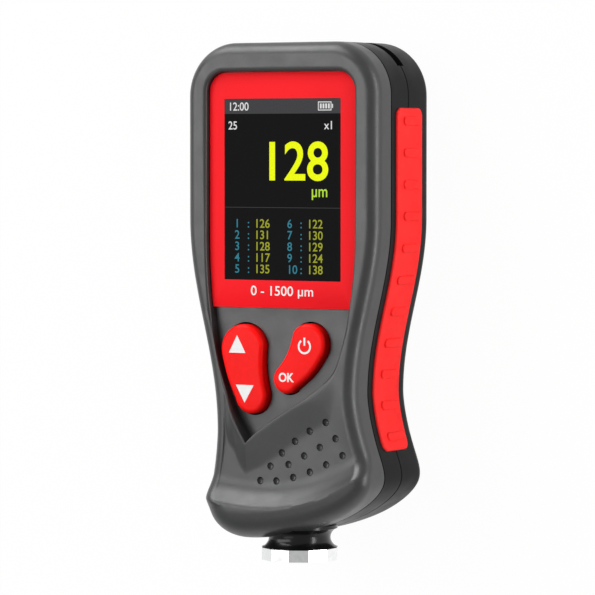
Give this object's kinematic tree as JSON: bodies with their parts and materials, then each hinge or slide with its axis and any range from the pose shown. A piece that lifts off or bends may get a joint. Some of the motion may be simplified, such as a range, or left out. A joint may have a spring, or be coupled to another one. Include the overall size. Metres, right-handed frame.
{
  "type": "coating thickness gauge",
  "caption": "Hand-held coating thickness gauge with a waisted two-tone housing, side grips, colour screen, two rocker keys and a sprung probe in a faceted metal foot.",
  "frame": {"origin": "middle of the whole gauge, on the plane of the flat pad on its back that it rests on", "axes": "+Z out of the front face with the screen, +Y towards the top end, probe at the -Y end"},
  "size_m": [0.052, 0.1176, 0.028],
  "materials": {
    "grey_plastic": "fine satin moulded texture",
    "black_plastic": "fine satin moulded texture",
    "red_rubber": "matte soft grip",
    "red_key": "satin",
    "window": "gloss printed panel",
    "display": "gloss",
    "foam": "matte foam",
    "board": "solder mask",
    "chrome": "polished",
    "steel": "turned",
    "copper": "enamelled wire",
    "cell_jacket": "printed film",
    "spring_steel": "plated wire"
  },
  "bodies": {
    "housing": {"front_cover": "grey_plastic", "mid_frame": "black_plastic", "rear_cover": "black_plastic", "side_grip_right": "red_rubber", "side_grip_left": "red_rubber", "window_panel": "window", "display_gasket": "foam", "display_module": "display", "circuit_board": "board", "key_switches": "steel", "probe_neck": "black_plastic", "probe_foot": "chrome", "probe_cap": "black_plastic", "probe_spring": "spring_steel", "battery_cells": "cell_jacket", "battery_contacts": "steel", "battery_springs": "spring_steel", "case_screws": "steel"},
    "arrow_rocker": {"arrow_key": "red_key"},
    "power_rocker": {"power_key": "red_key"},
    "sensor": {"probe_tip": "steel", "probe_winding": "copper"},
    "battery_door": {"battery_cover": "black_plastic"}
  },
  "joints": [
    {"name": "arrow_rock", "type": "hinge", "parent": "housing", "child": "arrow_rocker", "pos_m": [-0.009, -0.0155, 0.0222], "axis": [0.9783, 0.207, 0], "range_deg": [-3, 3], "stiffness_Nm_per_rad": 0.3},
    {"name": "power_rock", "type": "hinge", "parent": "housing", "child": "power_rocker", "pos_m": [0.0043, -0.01275, 0.0222], "axis": [0.8131, -0.5822, 0], "range_deg": [-3, 3], "stiffness_Nm_per_rad": 0.3},
    {"name": "tip_press", "type": "slide", "parent": "housing", "child": "sensor", "axis": [0, 1, 0], "range_m": [0, 0.0008], "stiffness_N_per_m": 800, "springref_m": -0.001, "deforming": ["probe_spring"]},
    {"name": "door_swing", "type": "hinge", "parent": "housing", "child": "battery_door", "pos_m": [0, 0.0448, 0.001], "axis": [1, 0, 0], "range_deg": [0, 75], "stiffness_Nm_per_rad": 0.05}
  ]
}
